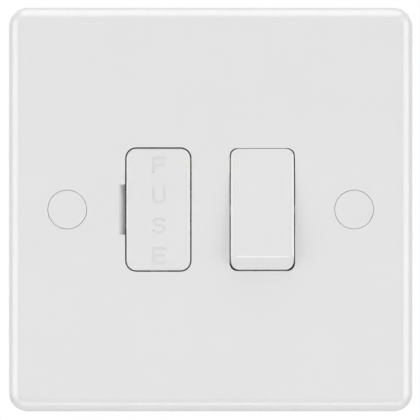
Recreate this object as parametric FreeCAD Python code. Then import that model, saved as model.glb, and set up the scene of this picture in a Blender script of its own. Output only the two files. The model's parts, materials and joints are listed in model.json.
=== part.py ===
import FreeCAD, Part
import math
import os

# Switched fused connection unit, one gang, millimetres.
# X runs to the right, Z up, and Y from the front face into the wall.
# The origin lies on the wall plane, midway between the two fixing screws.

V = FreeCAD.Vector
OVERCUT = 1.0

# Front plate
PLATE_SIZE = 85.0
PLATE_DEPTH = 8.5
PLATE_CORNER = 4.0
PLATE_EDGE_ROUND = 2.4
PLATE_FRONT = 2.8
PLATE_WALL = 2.0
RIB_THICKNESS = 1.2
RIB_DEPTH = 3.6

# Wall fixings and their caps
FIXING_SPACING = 60.3
FIXING_HOLE_RADIUS = 2.0
FIXING_THREAD_RADIUS = 1.75
FIXING_NECK_RADIUS = 1.4
FIXING_LENGTH = 25.0
FIXING_HEAD_RADIUS = 3.3
FIXING_HEAD_HEIGHT = 2.0
SLOT_WIDTH = 0.9
SLOT_DEPTH = 1.0
BOSS_WALL = 1.4
BOSS_SETBACK = 0.5
THREAD_START = 0.2
CAP_RADIUS = 4.05
CAP_GAP = 0.08
CAP_THICKNESS = 1.2
CAP_SKIRT_WALL = 0.55
CAP_EDGE = 0.2
CAP_TO_FLOOR = 0.5
CAP_RECESS_DEPTH = 4.2

# Fuse carrier and fuse
CARRIER_X = -11.0
CARRIER_WIDTH = 13.45
CARRIER_CORNER = 2.1
CARRIER_EDGE_ROUND = 0.4
CARRIER_THICKNESS = 2.0
CARRIER_SKIRT_WALL = 1.2
CARRIER_SKIRT_DEPTH = 1.2
CARRIER_GAP = 0.25
CARRIER_TRAVEL = 16.0
LEG_HALF_HEIGHT = 4.0
LEG_THICKNESS = 1.4
LEG_GAP = 0.55
HOOK_REACH = 1.2
HOOK_THICKNESS = 1.2
HOOK_STOP_GAP = 0.1
HOOK_TO_FLOOR = 2.2
JAW_HALF_HEIGHT = 3.5
JAW_THICKNESS = 1.2
JAW_LIP = 0.6
JAW_LIP_DEPTH = 0.9
FUSE_RADIUS = 3.175
FUSE_LENGTH = 25.4
FUSE_BARREL_RADIUS = 2.95
FUSE_CAP_LENGTH = 5.6
FUSE_CAP_END = 0.4
FUSE_CAP_GAP = 0.02
FUSE_TO_CARRIER = 0.42
FUSE_FIT = 0.08
FUSE_END_ROOM = 0.25
NOTCH_HALF_HEIGHT = 5.25
NOTCH_WIDTH = 1.4
NOTCH_DEPTH = 1.5
NOTCH_FLARE = 0.75
LEVER_POCKET_HALF_HEIGHT = 5.0
LEVER_POCKET_DEPTH = 0.9
LEVER_POCKET_LIP = 0.9

# Collars behind the two apertures
COLLAR_WALL = 1.5
COLLAR_DEPTH = 2.2

# Rocker
ROCKER_X = 10.85
ROCKER_WIDTH = 13.3
ROCKER_CORNER = 1.85
ROCKER_APERTURE_CORNER = 1.6
ROCKER_TILT = 6.0
ROCKER_PIVOT_DEPTH = 2.0
ROCKER_RISE = 3.2
ROCKER_RIDGE = 10.28
ROCKER_FACET_ANGLE = 44.5
ROCKER_END_RADIUS = 12.8
ROCKER_TOP_REACH = 12.5
ROCKER_END_GAP = 0.1
ROCKER_SIDE_GAP = 0.2
ROCKER_SKIRT = 3.5
ROCKER_SKIN = 1.8
ROCKER_WALL = 1.3
ROCKER_TOP_ROUND = 0.3
ROCKER_RIDGE_ROUND = 0.5
ROCKER_SIDE_ROUND = 0.4
TRUNNION_RADIUS = 1.0
TRUNNION_LENGTH = 1.3
TRUNNION_FIT = 0.05
TRUNNION_TO_POST = 0.1

# Plungers and their springs, carried in the rocker
POLE_OFFSET = 3.3
PLUNGER_REACH = 12.0
PLUNGER_RADIUS = 1.7
PLUNGER_LENGTH = 6.6
PLUNGER_FIT = 0.1
TUBE_WALL = 0.7
TUBE_REACH = 9.5
BORE_START = 0.5
SPRING_WIRE = 0.2
SPRING_TURNS = 4
SPRING_FIT = 0.15

# Contact blades, rivets and brass strips
BRASS = 0.8
BLADE_TILT = 9.0
BLADE_WIDTH = 5.0
BLADE_ARM = 10.5
BLADE_EAR = 1.5
BLADE_EAR_DEPTH = 1.8
EDGE_RADIUS = 0.5
EDGE_FIT = 0.05
MID_TRAVEL_GAP = 0.05
BRACKET_WIDTH = 3.0
BRACKET_FIT = 0.15
RIVET_ARM = 9.4
RIVET_HEAD_RADIUS = 1.3
RIVET_HEAD = 0.7
RIVET_SHANK_RADIUS = 0.8
RIVET_TAIL_RADIUS = 1.1
RIVET_TAIL = 0.4
RIVET_FIT = 0.03
CLOSED_CONTACT_GAP = 0.08
STRIP_HALF_WIDTH = 1.75
STRIP_LEG = 5.0

# Fuse clips
CLIP_WIDTH = 4.0
CLIP_TO_FUSE_END = 0.7
CLIP_FIT = 0.07
CLIP_ARM = 4.5
CLIP_LIP_OUT = 1.1
CLIP_LIP_DEPTH = 1.0

# Terminals
TERMINAL_FIT = 0.125
TERMINAL_HEIGHT = 8.0
TERMINAL_DEPTH = 8.5
TERMINAL_TO_FLOOR = 2.0
TERMINAL_CHAMFER = 0.4
WIRE_BORE_RADIUS = 2.0
WIRE_BORE_INSET = 3.4
TERMINAL_SCREW_RADIUS = 1.7
TERMINAL_SCREW_FIT = 0.05
TERMINAL_SCREW_HEAD_RADIUS = 2.3
TERMINAL_SCREW_HEAD = 2.0
TERMINAL_SCREW_RAISED = 0.6
TERMINAL_SCREW_TO_BORE = 0.3
EARTH_PITCH = 8.0
EARTH_TO_WALL = 1.35

# Rear housing
HOUSING_HEIGHT = 58.0
HOUSING_WALL = 2.0
HOUSING_CORNER = 3.0
HOUSING_REAR_BEVEL = 0.8
CHAMBER_TO_SIDE = 2.3
HOUSING_RIM_GAP = 0.1
PARTITION = 1.3
BARRIER = 1.0
BARRIER_FRONT = 1.0
PARTITION_TO_COLLAR = 0.1
PARTITION_SHIFT = 9.25
ENTRY_RADIUS = 2.8
DRIVER_HOLE_RADIUS = 2.8
LEDGE_WIDTH = 0.7
TOWER_MARGIN = 0.4
STOP_RIB = 1.6
STOP_GAP = 0.1
SLOT_FIT = 0.1
CHAMBER_TO_APERTURE = 0.2

# Screws that hold the housing to the plate
LUG_OUT = 3.0
LUG_Z = 22.0
LUG_RADIUS = 3.2
LUG_THICKNESS = 2.0
LUG_HOLE_RADIUS = 1.5
POST_RADIUS = 2.8
PILOT_RADIUS = 1.3
PILOT_CLOSED_END = 0.6
HOUSING_SCREW_FIT = 0.05
HOUSING_SCREW_HEAD_RADIUS = 2.5
HOUSING_SCREW_HEAD = 1.5
HOUSING_SCREW_LENGTH = 6.2

# Planes and places that follow from the sizes above
FACE_Y = -PLATE_DEPTH
INNER_Y = FACE_Y + PLATE_FRONT
COLLAR_Y = INNER_Y + COLLAR_DEPTH
CAP_FLOOR_Y = FACE_Y + CAP_RECESS_DEPTH
CAP_RECESS_RADIUS = CAP_RADIUS + CAP_GAP
POST_Y = -BOSS_SETBACK
LUG_Y = POST_Y + LUG_THICKNESS

CARRIER_HEIGHT = FUSE_LENGTH + FUSE_END_ROOM
CARRIER_REAR_Y = FACE_Y + CARRIER_THICKNESS
FUSE_Y = CARRIER_REAR_Y + FUSE_TO_CARRIER + FUSE_RADIUS
HOOK_Y = COLLAR_Y + CARRIER_TRAVEL + HOOK_STOP_GAP

PIVOT_Y = FACE_Y + ROCKER_PIVOT_DEPTH
ROCKER_APERTURE_HALF = ROCKER_WIDTH / 2 + ROCKER_SIDE_GAP
TUBE_BORE_RADIUS = PLUNGER_RADIUS + PLUNGER_FIT
BLADE_REAR = EDGE_RADIUS + EDGE_FIT
BLADE_FRONT = BLADE_REAR + BRASS
BLADE_PIVOT_Y = PIVOT_Y + PLUNGER_REACH + MID_TRAVEL_GAP + BLADE_FRONT
TILT = math.radians(BLADE_TILT)
POLES = {"live": ROCKER_X - POLE_OFFSET, "neutral": ROCKER_X + POLE_OFFSET}

HOUSING_FRONT_Y = INNER_Y + HOUSING_RIM_GAP
FLOOR_Y = HOOK_Y + HOOK_THICKNESS + HOOK_TO_FLOOR
HOUSING_REAR = FLOOR_Y + HOUSING_WALL
PARTITION_Y = COLLAR_Y + PARTITION_TO_COLLAR
END_INNER = HOUSING_HEIGHT / 2 - HOUSING_WALL
CHAMBER_INNER = ROCKER_APERTURE_HALF + CHAMBER_TO_APERTURE
CHAMBER_OUTER = CHAMBER_INNER + PARTITION
SIDE_INNER = ROCKER_X + CHAMBER_OUTER + CHAMBER_TO_SIDE
HOUSING_WIDTH = 2 * (SIDE_INNER + HOUSING_WALL)
LUG_X = HOUSING_WIDTH / 2 + LUG_OUT
CELLS = {
    "live": (ROCKER_X - CHAMBER_INNER, ROCKER_X - BARRIER / 2),
    "neutral": (ROCKER_X + BARRIER / 2, ROCKER_X + CHAMBER_INNER),
}

TERMINAL_WIDTH = CHAMBER_INNER - BARRIER / 2 - 2 * TERMINAL_FIT
TERMINAL_REAR = FLOOR_Y - TERMINAL_TO_FLOOR
TERMINAL_FRONT = TERMINAL_REAR - TERMINAL_DEPTH
TERMINAL_INNER_Z = END_INNER - TERMINAL_HEIGHT
TERMINAL_Z = END_INNER - TERMINAL_HEIGHT / 2
WIRE_Y = TERMINAL_FRONT + WIRE_BORE_INSET
CELL_CENTRE = {pole: sum(cell) / 2 for pole, cell in CELLS.items()}
EARTH_X = EARTH_TO_WALL - SIDE_INNER + (TERMINAL_WIDTH + EARTH_PITCH) / 2
TERMINALS = {
    "terminal_live_supply": ([CELL_CENTRE["live"]], -1),
    "terminal_neutral_supply": ([CELL_CENTRE["neutral"]], -1),
    "terminal_live_load": ([CARRIER_X], -1),
    "terminal_neutral_load": ([CELL_CENTRE["neutral"]], 1),
    "terminal_earth": ([EARTH_X - EARTH_PITCH / 2, EARTH_X + EARTH_PITCH / 2], 1),
}
WIRE_WAYS = [(x, side) for xs, side in TERMINALS.values() for x in xs]

# The closed contacts meet where the raised blade end comes down
CONTACT_Z = RIVET_ARM * math.cos(TILT)
CLOSED_FACE_Y = BLADE_PIVOT_Y + RIVET_ARM * math.sin(TILT) + (RIVET_HEAD - BLADE_REAR) * math.cos(TILT)
FIXED_FACE_Y = CLOSED_FACE_Y + RIVET_HEAD_RADIUS * math.sin(TILT) + CLOSED_CONTACT_GAP
STRIP_Y = FIXED_FACE_Y + RIVET_HEAD
STRIP_REAR_Y = STRIP_Y + BRASS
BLADE_STOP_Y = BLADE_PIVOT_Y + BLADE_ARM * math.sin(TILT) - BLADE_REAR * math.cos(TILT) + STOP_GAP
CLIP_BASE_Y = FUSE_Y + FUSE_RADIUS + CLIP_FIT
CLIP_OUTER = FUSE_LENGTH / 2 - CLIP_TO_FUSE_END
CLIP_INNER = CLIP_OUTER - CLIP_WIDTH


def block(x, y, z):
    """Box between the low and high ends given for each axis."""
    return Part.makeBox(x[1] - x[0], y[1] - y[0], z[1] - z[0], V(x[0], y[0], z[0]))


def rod(axis, radius, ends, at):
    """Cylinder along one axis; at holds its two other coordinates in order."""
    low, high = ends
    start = {"x": V(low, *at), "y": V(at[0], low, at[1]), "z": V(*at, low)}[axis]
    direction = {"x": V(1, 0, 0), "y": V(0, 1, 0), "z": V(0, 0, 1)}[axis]
    return Part.makeCylinder(radius, high - low, start, direction)


def upright_edges(shape):
    """Edges that run along Y."""
    return [e for e in shape.Edges if len(e.Vertexes) == 2 and abs(abs(e.tangentAt(e.FirstParameter).y) - 1) < 1e-6]


def edges_at(shape, y):
    """Edges that lie in the plane at y."""
    return [e for e in shape.Edges if abs(e.BoundBox.YMin - y) < 1e-4 and abs(e.BoundBox.YMax - y) < 1e-4]


def slab(width, height, corner, y, at=(0.0, 0.0)):
    """Rectangle with round corners, seen from the front, between two depths."""
    x = (at[0] - width / 2, at[0] + width / 2)
    z = (at[1] - height / 2, at[1] + height / 2)
    box = block(x, y, z)
    return box.makeFillet(corner, upright_edges(box))


def prism_along_z(points, z):
    """Outline of (x, y) points carried from one height to another."""
    corners = [V(x, y, z[0]) for x, y in points]
    return Part.Face(Part.makePolygon(corners + corners[:1])).extrude(V(0, 0, z[1] - z[0]))


def prism_along_y(points, y):
    """Outline of (x, z) points carried from one depth to another."""
    corners = [V(x, y[0], z) for x, z in points]
    return Part.Face(Part.makePolygon(corners + corners[:1])).extrude(V(0, y[1] - y[0], 0))


def joined(shapes):
    """One solid from touching or crossing shapes."""
    return shapes[0].fuse(shapes[1:]).removeSplitter()


def mirrored_pair(low, high, centre=0.0):
    """The two spans that lie at low to high on either side of a centre."""
    return [(centre - high, centre - low), (centre + low, centre + high)]


def carrier_opening(grow, y):
    """Opening round the carrier, or with grow the collar outside it."""
    outward = CARRIER_GAP + grow
    size = (CARRIER_WIDTH + 2 * outward, CARRIER_HEIGHT + 2 * outward)
    return slab(*size, CARRIER_CORNER + outward, y, (CARRIER_X, 0.0))


def rocker_opening(grow, y):
    """Opening round the rocker, or with grow the collar outside it."""
    width = ROCKER_WIDTH + 2 * (ROCKER_SIDE_GAP + grow)
    height = 2 * (ROCKER_END_RADIUS + ROCKER_END_GAP + grow)
    return slab(width, height, ROCKER_APERTURE_CORNER + grow, y, (ROCKER_X, 0.0))


def lever_notch():
    """Sloping notch in the face for a screwdriver, at the carrier's left side."""
    edge = CARRIER_X - CARRIER_WIDTH / 2 - CARRIER_GAP
    start = edge - NOTCH_WIDTH
    inside = edge + CARRIER_GAP
    slope = [(start, FACE_Y - OVERCUT), (inside, FACE_Y - OVERCUT), (inside, FACE_Y + NOTCH_DEPTH)]
    slope.append((start, FACE_Y))
    flared = NOTCH_HALF_HEIGHT + NOTCH_FLARE
    bend = edge - NOTCH_WIDTH / 2
    half = [(start, NOTCH_HALF_HEIGHT), (bend, NOTCH_HALF_HEIGHT), (edge, flared), (inside, flared)]
    plan = half + [(x, -z) for x, z in reversed(half)]
    wedge = prism_along_z(slope, (-flared - OVERCUT, flared + OVERCUT))
    return wedge.common(prism_along_y(plan, (FACE_Y - OVERCUT, FACE_Y + NOTCH_DEPTH + OVERCUT)))


def trunnion_seat(side):
    """Slot from the rear that ends in a half round seat at the pivot."""
    radius = TRUNNION_RADIUS + TRUNNION_FIT
    inner = ROCKER_APERTURE_HALF - OVERCUT
    outer = ROCKER_APERTURE_HALF + COLLAR_WALL + OVERCUT
    x = sorted((ROCKER_X + side * inner, ROCKER_X + side * outer))
    seat = rod("x", radius, x, (PIVOT_Y, 0.0))
    return seat.fuse(block(x, (PIVOT_Y, COLLAR_Y + OVERCUT), (-radius, radius)))


def lug_places():
    return [(x, z) for x in (-LUG_X, LUG_X) for z in (-LUG_Z, LUG_Z)]


def front_plate():
    """Moulded plate: rounded shell, fixing bosses, collars and housing posts."""
    outer = slab(PLATE_SIZE, PLATE_SIZE, PLATE_CORNER, (FACE_Y, 0.0))
    outer = outer.makeFillet(PLATE_EDGE_ROUND, edges_at(outer, FACE_Y))
    inner_size = PLATE_SIZE - 2 * PLATE_WALL
    hollow = slab(inner_size, inner_size, PLATE_CORNER - PLATE_WALL, (INNER_Y, OVERCUT))
    added = [outer.cut(hollow)]
    removed = []
    boss_radius = CAP_RECESS_RADIUS + BOSS_WALL
    behind_face = INNER_Y - OVERCUT
    for side in (-1, 1):
        x = side * FIXING_SPACING / 2
        rib = sorted((x, side * (inner_size + PLATE_WALL) / 2))
        added.append(rod("y", boss_radius, (behind_face, -BOSS_SETBACK), (x, 0.0)))
        added.append(block(rib, (behind_face, INNER_Y + RIB_DEPTH), (-RIB_THICKNESS / 2, RIB_THICKNESS / 2)))
        removed.append(rod("y", CAP_RECESS_RADIUS, (FACE_Y - OVERCUT, CAP_FLOOR_Y), (x, 0.0)))
        removed.append(rod("y", FIXING_HOLE_RADIUS, (FACE_Y, OVERCUT), (x, 0.0)))
        removed.append(trunnion_seat(side))
    added.append(carrier_opening(COLLAR_WALL, (behind_face, COLLAR_Y)))
    added.append(rocker_opening(COLLAR_WALL, (behind_face, COLLAR_Y)))
    through = (FACE_Y - OVERCUT, COLLAR_Y + OVERCUT)
    removed += [carrier_opening(0.0, through), rocker_opening(0.0, through), lever_notch()]
    for x, z in lug_places():
        added.append(rod("y", POST_RADIUS, (behind_face, POST_Y), (x, z)))
        removed.append(rod("y", PILOT_RADIUS, (INNER_Y + PILOT_CLOSED_END, OVERCUT), (x, z)))
    return joined(added).cut(removed)


def screw_cap(side):
    """Push-in cover disc with a short skirt round the screw head."""
    at = (side * FIXING_SPACING / 2, 0.0)
    disc = rod("y", CAP_RADIUS, (FACE_Y, FACE_Y + CAP_THICKNESS), at)
    disc = disc.makeChamfer(CAP_EDGE, edges_at(disc, FACE_Y))
    skirt_y = (FACE_Y + CAP_THICKNESS, CAP_FLOOR_Y - CAP_TO_FLOOR)
    skirt = rod("y", CAP_RADIUS, skirt_y, at).cut(rod("y", CAP_RADIUS - CAP_SKIRT_WALL, skirt_y, at))
    return joined([disc, skirt])


def slotted_head(radius, height, y, at, outward):
    """Round slotted head; outward is the side that faces the driver."""
    low, high = sorted((y, y + outward * height))
    top = y + outward * height
    head = rod("y", radius, (low, high), at)
    slot_y = sorted((top - outward * SLOT_DEPTH, top + outward * OVERCUT))
    x = (at[0] - radius - OVERCUT, at[0] + radius + OVERCUT)
    z = (at[1] - SLOT_WIDTH / 2, at[1] + SLOT_WIDTH / 2)
    return head.cut(block(x, slot_y, z))


def fixing_screw(side):
    """Machine screw into the box: head on the recess floor, plain neck, thread."""
    at = (side * FIXING_SPACING / 2, 0.0)
    start = -BOSS_SETBACK + THREAD_START
    end = CAP_FLOOR_Y + FIXING_LENGTH
    head = slotted_head(FIXING_HEAD_RADIUS, FIXING_HEAD_HEIGHT, CAP_FLOOR_Y, at, -1)
    neck = rod("y", FIXING_NECK_RADIUS, (CAP_FLOOR_Y, start), at)
    thread = rod("y", FIXING_THREAD_RADIUS, (start, end), at)
    thread = thread.makeChamfer(FIXING_THREAD_RADIUS / 3, edges_at(thread, end))
    return joined([head, neck, thread])


def housing_screw(x, z):
    """Short screw through the housing lug into the plate post."""
    head = slotted_head(HOUSING_SCREW_HEAD_RADIUS, HOUSING_SCREW_HEAD, LUG_Y, (x, z), 1)
    shank = rod("y", PILOT_RADIUS - HOUSING_SCREW_FIT, (LUG_Y - HOUSING_SCREW_LENGTH, LUG_Y), (x, z))
    return joined([head, shank])


def fuse_carrier():
    """Pull-out drawer: face, short skirt, fuse jaws and two hooked guide legs."""
    face = slab(CARRIER_WIDTH, CARRIER_HEIGHT, CARRIER_CORNER, (FACE_Y, CARRIER_REAR_Y), (CARRIER_X, 0.0))
    face = face.makeFillet(CARRIER_EDGE_ROUND, edges_at(face, FACE_Y))
    skirt_y = (CARRIER_REAR_Y, CARRIER_REAR_Y + CARRIER_SKIRT_DEPTH)
    inner = 2 * CARRIER_SKIRT_WALL
    skirt = slab(CARRIER_WIDTH, CARRIER_HEIGHT, CARRIER_CORNER, skirt_y, (CARRIER_X, 0.0))
    skirt = skirt.cut(slab(CARRIER_WIDTH - inner, CARRIER_HEIGHT - inner, CARRIER_CORNER - CARRIER_SKIRT_WALL,
                           skirt_y, (CARRIER_X, 0.0)))
    fuse_way = FUSE_RADIUS + 4 * FUSE_FIT
    across = (-CARRIER_HEIGHT, CARRIER_HEIGHT)
    skirt = skirt.cut(block((CARRIER_X - fuse_way, CARRIER_X + fuse_way), skirt_y, across))
    pieces = [face] + skirt.Solids
    leg_outer = CARRIER_WIDTH / 2 + CARRIER_GAP - LEG_GAP
    jaw_inner = FUSE_BARREL_RADIUS + FUSE_FIT
    lip_inner = jaw_inner - JAW_LIP
    lip_y = FUSE_Y + math.sqrt(FUSE_BARREL_RADIUS ** 2 - lip_inner ** 2) + FUSE_FIT
    leg_z = (-LEG_HALF_HEIGHT, LEG_HALF_HEIGHT)
    jaw_z = (-JAW_HALF_HEIGHT, JAW_HALF_HEIGHT)
    leg_end = HOOK_Y + HOOK_THICKNESS
    for x in mirrored_pair(leg_outer - LEG_THICKNESS, leg_outer, CARRIER_X):
        pieces.append(block(x, (CARRIER_REAR_Y, leg_end), leg_z))
    for x in mirrored_pair(leg_outer, leg_outer + HOOK_REACH, CARRIER_X):
        pieces.append(block(x, (HOOK_Y, leg_end), leg_z))
    for x in mirrored_pair(jaw_inner, jaw_inner + JAW_THICKNESS, CARRIER_X):
        pieces.append(block(x, (CARRIER_REAR_Y, lip_y + JAW_LIP_DEPTH), jaw_z))
    for x in mirrored_pair(lip_inner, jaw_inner, CARRIER_X):
        pieces.append(block(x, (lip_y, lip_y + JAW_LIP_DEPTH), jaw_z))
    side = CARRIER_X - CARRIER_WIDTH / 2
    pocket_y = (FACE_Y + LEVER_POCKET_LIP, CARRIER_REAR_Y)
    pocket_z = (-LEVER_POCKET_HALF_HEIGHT, LEVER_POCKET_HALF_HEIGHT)
    pocket = block((side - OVERCUT, side + LEVER_POCKET_DEPTH), pocket_y, pocket_z)
    return joined(pieces).cut(pocket)


def fuse_barrel():
    half = FUSE_LENGTH / 2 - FUSE_CAP_END - FUSE_CAP_GAP
    return rod("z", FUSE_BARREL_RADIUS, (-half, half), (CARRIER_X, FUSE_Y))


def fuse_cap(side):
    """Plated end cup of the cartridge fuse."""
    end = FUSE_LENGTH / 2
    at = (CARRIER_X, FUSE_Y)
    outer = rod("z", FUSE_RADIUS, sorted((side * (end - FUSE_CAP_LENGTH), side * end)), at)
    cup_end = sorted((side * (end - FUSE_CAP_LENGTH - OVERCUT), side * (end - FUSE_CAP_END)))
    return outer.cut(rod("z", FUSE_BARREL_RADIUS + FUSE_CAP_GAP, cup_end, at))


def tilted(shape, degrees, y):
    """Turn a shape that was made about the origin, then carry it to its pivot."""
    turned = shape.copy()
    turned.rotate(V(0, 0, 0), V(1, 0, 0), degrees)
    turned.translate(V(0, y, 0))
    return turned


def rocker_outline():
    """Side view of the rocker about its pivot: face, ridge, facet and end arcs."""
    face = -ROCKER_RISE
    radius = ROCKER_END_RADIUS
    top = V(0, face, ROCKER_TOP_REACH)
    ridge = V(0, face, -ROCKER_RIDGE)
    angle = math.radians(ROCKER_FACET_ANGLE)
    fall = V(0, math.sin(angle), -math.cos(angle))
    along = ridge.dot(fall)
    facet = along * -1 + math.sqrt(along ** 2 - ridge.dot(ridge) + radius ** 2)
    foot = ridge + fall * facet
    rear_z = math.sqrt(radius ** 2 - ROCKER_SKIRT ** 2)
    rear_top = V(0, ROCKER_SKIRT, rear_z)
    rear_foot = V(0, ROCKER_SKIRT, -rear_z)
    edges = [
        Part.LineSegment(top, ridge).toShape(),
        Part.LineSegment(ridge, foot).toShape(),
        Part.Arc(foot, V(0, ROCKER_SKIRT / 2, -math.sqrt(radius ** 2 - (ROCKER_SKIRT / 2) ** 2)), rear_foot).toShape(),
        Part.LineSegment(rear_foot, rear_top).toShape(),
        Part.Arc(rear_top, V(0, ROCKER_SKIRT / 2, math.sqrt(radius ** 2 - (ROCKER_SKIRT / 2) ** 2)),
                 V(0, 0, radius)).toShape(),
        Part.LineSegment(V(0, 0, radius), top).toShape(),
    ]
    return Part.Wire(edges)


def rocker_shell():
    """Rocker cap with round edges, hollow behind, before tubes and trunnions."""
    half = ROCKER_WIDTH / 2
    prism = Part.Face(rocker_outline()).extrude(V(ROCKER_WIDTH, 0, 0))
    prism.translate(V(-half, 0, 0))
    along_x = [e for e in prism.Edges if abs(e.BoundBox.XLength - ROCKER_WIDTH) < 1e-4]
    face = -ROCKER_RISE
    ridge = [e for e in along_x if abs(e.BoundBox.YMin - face) < 1e-4 and e.BoundBox.ZMin < 0]
    prism = prism.makeFillet(ROCKER_RIDGE_ROUND, ridge)
    top = [e for e in prism.Edges if abs(e.BoundBox.XLength - ROCKER_WIDTH) < 1e-4
           and abs(e.BoundBox.YMin - face) < 1e-4 and e.BoundBox.ZMin > ROCKER_RIDGE]
    prism = prism.makeFillet(ROCKER_TOP_ROUND, top)
    sides = [e for e in prism.Edges if e.BoundBox.XLength < 1e-4 and e.BoundBox.YMax < -TRUNNION_RADIUS / 2]
    prism = prism.makeFillet(ROCKER_SIDE_ROUND, sides)
    sheath = slab(ROCKER_WIDTH, 2 * ROCKER_END_RADIUS, ROCKER_CORNER, (face - OVERCUT, ROCKER_SKIRT + OVERCUT))
    shell = prism.common(sheath)
    cavity_z = ROCKER_RIDGE - ROCKER_RIDGE_ROUND
    cavity_x = half - ROCKER_WALL
    cavity = block((-cavity_x, cavity_x), (face + ROCKER_SKIN, ROCKER_SKIRT + OVERCUT), (-cavity_z, cavity_z))
    return shell.cut(cavity)


def rocker():
    """Rocker with its trunnions and the two plunger tubes, tilted to off."""
    half = ROCKER_WIDTH / 2
    skin_y = ROCKER_SKIN - ROCKER_RISE
    pieces = [rocker_shell()]
    bores = []
    for x in (-POLE_OFFSET, POLE_OFFSET):
        pieces.append(rod("y", TUBE_BORE_RADIUS + TUBE_WALL, (skin_y, TUBE_REACH), (x, 0.0)))
        bores.append(rod("y", TUBE_BORE_RADIUS, (BORE_START, TUBE_REACH + OVERCUT), (x, 0.0)))
    pieces.append(rod("x", TRUNNION_RADIUS, (-half - TRUNNION_LENGTH, -half + ROCKER_WALL), (0.0, 0.0)))
    pieces.append(rod("x", TRUNNION_RADIUS, (half - ROCKER_WALL, half + TRUNNION_LENGTH), (0.0, 0.0)))
    whole = joined(pieces).cut(bores)
    whole.translate(V(ROCKER_X, 0, 0))
    return tilted(whole, -ROCKER_TILT, PIVOT_Y)


def plunger(pole):
    """Nylon pin with a round nose that presses on the blade."""
    start = PLUNGER_REACH - PLUNGER_LENGTH
    pin = rod("y", PLUNGER_RADIUS, (start, PLUNGER_REACH), (POLES[pole], 0.0))
    nose = edges_at(pin, PLUNGER_REACH)
    return tilted(pin.makeFillet(PLUNGER_RADIUS * 0.85, nose), -ROCKER_TILT, PIVOT_Y)


def plunger_spring(pole):
    """Compression spring between the tube's blind end and the plunger."""
    room = PLUNGER_REACH - PLUNGER_LENGTH - BORE_START
    height = room - 2 * SPRING_WIRE - SPRING_FIT
    radius = TUBE_BORE_RADIUS - SPRING_WIRE - SPRING_FIT
    helix = Part.makeHelix(height / SPRING_TURNS, height, radius)
    across = [(1, 0), (0, 1), (-1, 0), (0, -1), (1, 0)]
    section = Part.makePolygon([V(radius + dx * SPRING_WIRE, 0, dz * SPRING_WIRE) for dx, dz in across])
    coil = Part.Wire(helix.Edges).makePipeShell([section], True, True)
    coil.rotate(V(0, 0, 0), V(1, 0, 0), -90)
    coil.translate(V(POLES[pole], BORE_START + SPRING_WIRE + SPRING_FIT / 2, 0))
    return tilted(coil, -ROCKER_TILT, PIVOT_Y)


def rivet(face, outward, at):
    """Contact rivet: face is its working side, outward the way that side looks."""
    def stage(radius, near, far):
        ends = sorted((face - outward * near, face - outward * far))
        return rod("y", radius, ends, at)
    plate_end = RIVET_HEAD + BRASS
    pieces = [stage(RIVET_HEAD_RADIUS, 0.0, RIVET_HEAD), stage(RIVET_SHANK_RADIUS, RIVET_HEAD, plate_end)]
    pieces.append(stage(RIVET_TAIL_RADIUS, plate_end, plate_end + RIVET_TAIL))
    return joined(pieces)


def rivet_hole(y, at):
    return rod("y", RIVET_SHANK_RADIUS + RIVET_FIT, (y[0] - OVERCUT, y[1] + OVERCUT), at)


def moving_contact(pole):
    """See-saw blade with two ears that straddle the knife edge."""
    x = POLES[pole]
    blade_y = (-BLADE_FRONT, -BLADE_REAR)
    strip = block((x - BLADE_WIDTH / 2, x + BLADE_WIDTH / 2), blade_y, (-BLADE_ARM, BLADE_ARM))
    strip = strip.makeFillet(BLADE_WIDTH / 4, upright_edges(strip))
    pieces = [strip]
    inner = BRACKET_WIDTH / 2 + BRACKET_FIT
    for span in mirrored_pair(inner, inner + BRASS, x):
        pieces.append(block(span, (-BLADE_REAR, -BLADE_REAR + BLADE_EAR_DEPTH), (-BLADE_EAR, BLADE_EAR)))
    blade = joined(pieces).cut(rivet_hole(blade_y, (x, RIVET_ARM)))
    return tilted(blade, BLADE_TILT, BLADE_PIVOT_Y)


def moving_rivet(pole):
    face = RIVET_HEAD - BLADE_REAR
    return tilted(rivet(face, 1, (POLES[pole], RIVET_ARM)), BLADE_TILT, BLADE_PIVOT_Y)


def contact_bracket(pole):
    """Knife edge post, strip along the floor and leg against the supply terminal."""
    x = (POLES[pole] - BRACKET_WIDTH / 2, POLES[pole] + BRACKET_WIDTH / 2)
    floor = (FLOOR_Y - BRASS, FLOOR_Y)
    leg_z = (-TERMINAL_INNER_Z, -TERMINAL_INNER_Z + BRASS)
    leg_y = (TERMINAL_REAR - STRIP_LEG, FLOOR_Y)
    post = block(x, (BLADE_PIVOT_Y, FLOOR_Y), (-EDGE_RADIUS, EDGE_RADIUS))
    edge = rod("x", EDGE_RADIUS, x, (BLADE_PIVOT_Y, 0.0))
    strip = block(x, floor, (-TERMINAL_INNER_Z, EDGE_RADIUS))
    return joined([post, edge, strip, block(x, leg_y, leg_z)])


def contact_strip_z():
    return (CONTACT_Z - STRIP_HALF_WIDTH, CONTACT_Z + STRIP_HALF_WIDTH)


def fixed_contact_neutral():
    """Strip from the neutral contact up to the neutral load terminal."""
    centre = POLES["neutral"]
    x = (centre - STRIP_HALF_WIDTH, centre + STRIP_HALF_WIDTH)
    strip_y = (STRIP_Y, STRIP_REAR_Y)
    strip = block(x, strip_y, (contact_strip_z()[0], TERMINAL_INNER_Z))
    leg = block(x, (STRIP_Y, TERMINAL_REAR), (TERMINAL_INNER_Z - BRASS, TERMINAL_INNER_Z))
    return joined([strip, leg]).cut(rivet_hole(strip_y, (centre, CONTACT_Z)))


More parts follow.
